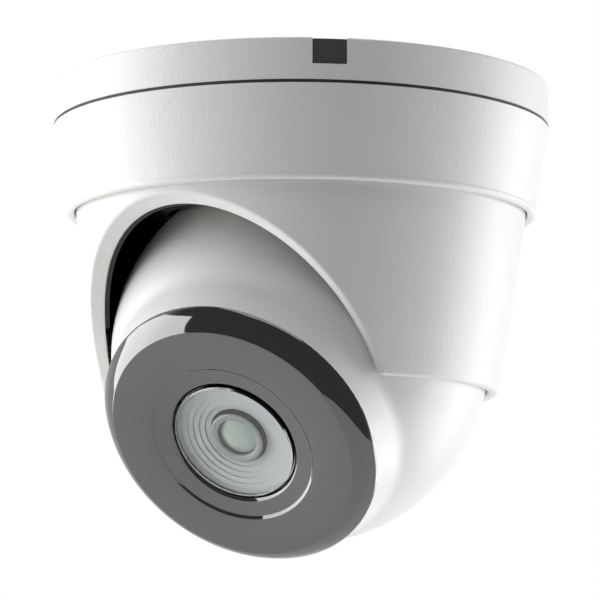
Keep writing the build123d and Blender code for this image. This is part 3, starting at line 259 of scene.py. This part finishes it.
powder_coat = grained("Powder_coat", (0.83, 0.83, 0.815), 0.38, 0.8, 0.08, 0.985, 0.06)
foam = grained("Closed_cell_foam", (0.028, 0.028, 0.03), 0.9, 0.9, 0.35, 0.5, 0.05)
plug_rubber = grained("Plug_rubber", (0.075, 0.073, 0.066), 0.62, 0.6, 0.06, 0.8)
seal_rubber = grained("Seal_rubber", (0.045, 0.045, 0.045), 0.6, 0.4, 0.02, 0.7)
natural_nylon = grained("Natural_nylon", (0.78, 0.77, 0.72), 0.5, 0.8, 0.02, 0.95, Subsurface_Weight=0.1)
paint(powder_coat, "mounting_base", "trim_ring", "turret_shell")
paint(foam, "ceiling_seal")
paint(plug_rubber, "side_outlet_plug")
paint(seal_rubber, "seam_gasket", "bulkhead_seal", "bezel_seal", "cable_gland")
paint(natural_nylon, "pan_glide_ring")

# ---------------------------------------------------------------- turret
# The shell shares the base's powder coat. A matt black liner is screwed up inside it, and shows
# as the dark crescent in the opening; a sprung ring over the screws' bosses loads the swivel frame.
plated_steel = grained("Plated_steel", (0.62, 0.61, 0.58), 0.3, 0.5, 0.004, 0.85, 0.08, 8.0, Metallic=1.0)
screw_steel = grained("Screw_steel", (0.7, 0.69, 0.66), 0.26, 0.3, 0.003, 0.8, 0.08, Metallic=1.0)
matt_black = grained("Matt_black_moulding", (0.016, 0.017, 0.019), 0.55, 0.5, 0.012, 0.7, 0.08)
paint(matt_black, "black_liner")
paint(screw_steel, "liner_screws")
paint(plated_steel, "swivel_spring")

# ---------------------------------------------------------------- swivel frame and tilt carriage
# Pressed steel frame with two slotted arches over the ball; the nylon carriage hangs in the slots
# on two studs, whose nuts set the friction, and a steel clip holds the ball on its neck.
carriage_nylon = grained("Filled_nylon", (0.035, 0.035, 0.037), 0.5, 0.35, 0.01, 0.75, 0.1)
paint(plated_steel, "swivel_frame")
paint(screw_steel, "guide_studs", "guide_nuts", "roll_clip")
paint(carriage_nylon, "tilt_carriage")

# ---------------------------------------------------------------- camera ball
# Two cast halves in a smooth satin paint, bolted together through an aluminium bulkhead that
# seals the electronics, with a rubber gland for the lead and a drying pack beside it.
satin_paint = grained("Satin_paint", (0.84, 0.84, 0.825), 0.36, 1.6, 0.012, 0.99, 0.03)
mill_aluminium = grained(
    "Mill_aluminium", (0.72, 0.73, 0.74), 0.36, 0.4, 0.004, 0.88, 0.1, 14.0, Metallic=1.0
)
sachet_paper = grained("Sachet_paper", (0.8, 0.8, 0.76), 0.85, 0.25, 0.03, 0.9)
paint(satin_paint, "ball_front_shell", "ball_rear_cover")
paint(screw_steel, "ball_screws", "chassis_screws", "board_screws")
paint(mill_aluminium, "ball_bulkhead", "chassis_plate")
paint(sachet_paper, "desiccant_pack")

# ---------------------------------------------------------------- boards
# Green boards with fine copper tracks under the resist, black packages, brass standoffs, clear
# infrared lamps on the ring board, and an amber film ribbon between the boards.


def board_resist():
    """Green solder resist with straight copper tracks that show as a lighter green."""
    material, tree, shader = shaded("Solder_resist")
    place = tree.nodes.new("ShaderNodeTexCoord")
    tracks = add_node(tree, "ShaderNodeTexBrick", Scale=420.0, Mortar_Size=0.08)
    tracks.inputs["Mortar Smooth"].default_value = 0.2
    tracks.inputs["Brick Width"].default_value = 1.6
    tracks.inputs["Color1"].default_value = (0.02, 0.16, 0.06, 1)
    tracks.inputs["Color2"].default_value = (0.015, 0.12, 0.05, 1)
    tracks.inputs["Mortar"].default_value = (0.05, 0.3, 0.12, 1)
    tree.links.new(place.outputs["Object"], tracks.inputs["Vector"])
    tree.links.new(tracks.outputs["Color"], shader.inputs["Base Color"])
    add_relief(tree, shader, tracks.outputs["Fac"], 0.03 * mm)
    shader.inputs["Roughness"].default_value = 0.35
    return material


epoxy_package = grained("Epoxy_package", (0.025, 0.025, 0.027), 0.5, 0.2, 0.004, 0.7)
turned_brass = grained("Turned_brass", (0.75, 0.55, 0.26), 0.28, 0.3, 0.003, 0.85, 0.06, 10.0, Metallic=1.0)
amber_film = grained("Amber_film", (0.5, 0.24, 0.05), 0.3, 1.0, 0.01, 0.8, 0.05)
lamp_resin = grained("Lamp_resin", (0.75, 0.77, 0.8), 0.12, 1.5, 0.002, 0.9, 0.02, Transmission_Weight=0.8)
sensor_glass = grained("Sensor_glass", (0.05, 0.05, 0.08), 0.15, 0.8, 0.001, 0.6, 0.04, Coat_Weight=0.6)
paint(board_resist(), "ir_board", "sensor_board", "main_board")
paint(epoxy_package, "main_board_parts")
paint(turned_brass, "board_standoffs")
paint(amber_film, "led_ribbon")
paint(lamp_resin, "ir_leds")
paint(sensor_glass, "light_sensor", "image_sensor")

# ---------------------------------------------------------------- lens and filter
# A plain black barrel in a moulded holder, and a small motor that throws the day and night filters
# across behind it. The helpers of this section also make the turned pieces of the face.
gaze = Vector(joints["ball_roll"]["axis"])
across = Vector(joints["ball_tilt"]["axis"])
ball_centre = Vector(joints["ball_roll"]["pos_m"])
face_frame = Matrix((across, gaze.cross(across), gaze)).transposed().to_4x4()
face_frame.translation = ball_centre


def points_on_gaze(node):
    """Points of a CAD node with the gaze as their Z axis and the ball's centre as their origin."""
    return [face_frame.inverted() @ vertex.co for vertex in nodes[node].data.vertices]


def span_on_gaze(node):
    """A CAD node's lowest and highest distance from the ball's centre along the gaze, and its radius."""
    points = points_on_gaze(node)
    distances = [point.z for point in points]
    return min(distances), max(distances), max(hypot(point.x, point.y) for point in points)


def put_on_face(piece):
    """Sets a piece made round the Z axis onto the gaze line, with its place in its mesh."""
    clear_selection()
    piece.matrix_world = face_frame @ piece.matrix_world
    piece.select_set(True)
    bpy.context.view_layer.objects.active = piece
    bpy.ops.object.transform_apply(location=True, rotation=True, scale=True)


def turned(name, outline):
    """Ring grown along a closed outline of (radius, distance) points, round the Z axis."""
    clear_selection()
    radius, distance = outline[0]
    bpy.ops.mesh.primitive_circle_add(vertices=192, radius=radius, location=(0, 0, distance))
    piece = bpy.context.object
    piece.name = name
    bpy.ops.object.mode_set(mode="EDIT")
    bpy.ops.mesh.select_all(action="SELECT")
    for next_radius, next_distance in outline[1:] + outline[:1]:
        rise = next_distance - distance
        bpy.ops.mesh.extrude_edges_move(TRANSFORM_OT_translate={"value": (0, 0, rise)})
        grow = next_radius / radius
        bpy.ops.transform.resize(value=(grow, grow, 1), center_override=(0, 0, 0))
        radius, distance = next_radius, next_distance
    bpy.ops.mesh.select_all(action="SELECT")
    bpy.ops.mesh.remove_doubles(threshold=0.002 * mm)
    bpy.ops.mesh.normals_make_consistent(inside=False)
    bpy.ops.object.mode_set(mode="OBJECT")
    bpy.ops.object.shade_smooth_by_angle(angle=radians(40))
    return piece


holder_black = grained("Holder_moulding", (0.02, 0.02, 0.022), 0.5, 0.3, 0.006, 0.7)
anodised_black = grained("Anodised_black", (0.03, 0.03, 0.032), 0.35, 0.25, 0.003, 0.8, Metallic=0.6)
filter_glass = grained(
    "Filter_glass", (0.5, 0.72, 0.8), 0.08, 2.0, 0.0005, 0.95, 0.02, Transmission_Weight=0.9
)
paint(holder_black, "lens_holder", "ir_cut_motor", "ir_cut_slide")
paint(anodised_black, "lens_barrel")
paint(filter_glass, "filter_glasses")

# ---------------------------------------------------------------- front bezel
# One glossy black ring carries the face: a flat annulus, a wide bulged bevel, and a shallow dish round
# the window. Like a mirror it shows the pale floor on the flat and the dark gap on the bevel.
bezel_back, bezel_front, bezel_radius = span_on_gaze("front_bezel")
window_back, window_front, window_radius = span_on_gaze("lens_window")
bevel_low = max(
    point.z for point in points_on_gaze("front_bezel") if hypot(point.x, point.y) > bezel_radius - 0.05 * mm
)
bevel_width = 4.4 * mm
bevel_rise = bezel_front - bevel_low
bevel_bulge = 0.4 * mm
bevel_steps = 12
edge_ease = 0.15 * mm
window_gap = 0.05 * mm
dish_radius = window_radius + 5.7 * mm
bezel_outline = [
    (window_radius + window_gap, bezel_back),
    (bezel_radius - edge_ease, bezel_back),
    (bezel_radius, bezel_back + edge_ease),
]
for step in range(bevel_steps + 1):
    along = step / bevel_steps
    bulge = bevel_bulge * sin(radians(180 * along))
    bezel_outline.append((
        bezel_radius - bevel_width * along + 0.4 * bulge,
        bevel_low + bevel_rise * along + 0.9 * bulge,
    ))
bezel_outline += [
    (bezel_radius - bevel_width - edge_ease, bezel_front), (dish_radius + edge_ease, bezel_front),
    (dish_radius, bezel_front - 0.06 * mm), (dish_radius - 0.4 * mm, bezel_front - 0.5 * mm),
    (dish_radius - 0.8 * mm, bezel_front - 0.62 * mm), (window_radius + 1.6 * mm, window_front),
    (window_radius + 1.1 * mm, window_front - 0.15 * mm), (window_radius + 0.3 * mm, window_front - 1.0 * mm),
]
bezel = turned("Bezel_gloss_ring", bezel_outline)
put_on_face(bezel)
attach(bezel, "ball")
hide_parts("front_bezel")
gloss_black = grained("Gloss_black", (0.008, 0.008, 0.009), 0.045, 3.0, 0.0006, 0.8, 0.012, IOR=2.3)
paint(gloss_black, bezel)

# ---------------------------------------------------------------- window and baffle
# A clear disc with a fine chamfer closes the dish. The stepped baffle behind it is coloured pale grey as a
# painted reflection of bright light in the window glass; its steps read as thin rings, and it falls away to
# the lens at its middle.


def clear_glass():
    """Window glass that lets lamp light through to what is behind it."""
    material, tree, shader = shaded("Clear_window")
    shader.inputs["Base Color"].default_value = (0.96, 0.98, 0.98, 1)
    shader.inputs["Roughness"].default_value = 0.02
    shader.inputs["Transmission Weight"].default_value = 1.0
    shader.inputs["IOR"].default_value = 1.49
    grain = tree.nodes.new("ShaderNodeGroup")
    grain.node_tree = surface_grain
    grain.inputs["Pitch"].default_value = 4.0
    add_relief(tree, shader, grain.outputs["Height"], 0.0005 * mm)
    clear = tree.nodes.new("ShaderNodeBsdfTransparent")
    ray = tree.nodes.new("ShaderNodeLightPath")
    choice = tree.nodes.new("ShaderNodeMixShader")
    tree.links.new(ray.outputs["Is Shadow Ray"], choice.inputs["Fac"])
    tree.links.new(shader.outputs["BSDF"], choice.inputs[1])
    tree.links.new(clear.outputs["BSDF"], choice.inputs[2])
    tree.links.new(choice.outputs["Shader"], tree.nodes["Material Output"].inputs["Surface"])
    return material


chamfer = 0.35 * mm
pinhole = 0.01 * mm
window = turned("Window_disc", [
    (pinhole, window_back), (window_radius, window_back), (window_radius, window_front - chamfer),
    (window_radius - chamfer, window_front), (pinhole, window_front),
])
put_on_face(window)
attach(window, "ball")
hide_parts("lens_window")
paint(clear_glass(), window)

# Pale grey here is a painted reflection: it stands in for bright light reflected in the window over the
# baffle.
baffle_painted_reflection = grained("Baffle_painted_reflection", (0.6, 0.615, 0.63), 0.45, 0.4, 0.006, 0.95)
paint(baffle_painted_reflection, "lens_baffle")

# ---------------------------------------------------------------- lens glass
# Two glasses sit in the barrel: a domed front one and a flat one at the back. Their pale grey-green is the
# green tint of their coating, lightened as a painted reflection of bright light.
# A turned ring holds the front glass, and its bright inner edge shows as a thin circle.
_, barrel_front, head_radius = span_on_gaze("lens_barrel")
_, _, glass_radius = span_on_gaze("lens_front_glass")
ring_in = glass_radius + 0.25 * mm
ring_out = head_radius - 0.15 * mm
ring_foot = barrel_front - 0.6 * mm
retainer = turned("Lens_retaining_ring", [
    (ring_in, ring_foot), (ring_out, ring_foot), (ring_out, barrel_front + 0.1 * mm),
    (ring_out - 0.3 * mm, barrel_front + 0.3 * mm), (glass_radius + 0.9 * mm, barrel_front + 0.25 * mm),
    (ring_in, barrel_front),
])
put_on_face(retainer)
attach(retainer, "lens")
paint(grained("Retainer_satin", (0.36, 0.37, 0.37), 0.3, 0.3, 0.003, 0.85, 0.06, Metallic=0.3), retainer)
# Pale grey-green base: the coating's real green tint plus a painted reflection that lightens the dark glass.
glass_coat_and_painted_reflection = grained(
    "Glass_coat_and_painted_reflection", (0.42, 0.5, 0.44), 0.05, 1.2, 0.0003, 0.9, 0.01, Coat_Weight=0.6, IOR=1.7
)
paint(glass_coat_and_painted_reflection, "lens_front_glass", "lens_rear_glass")
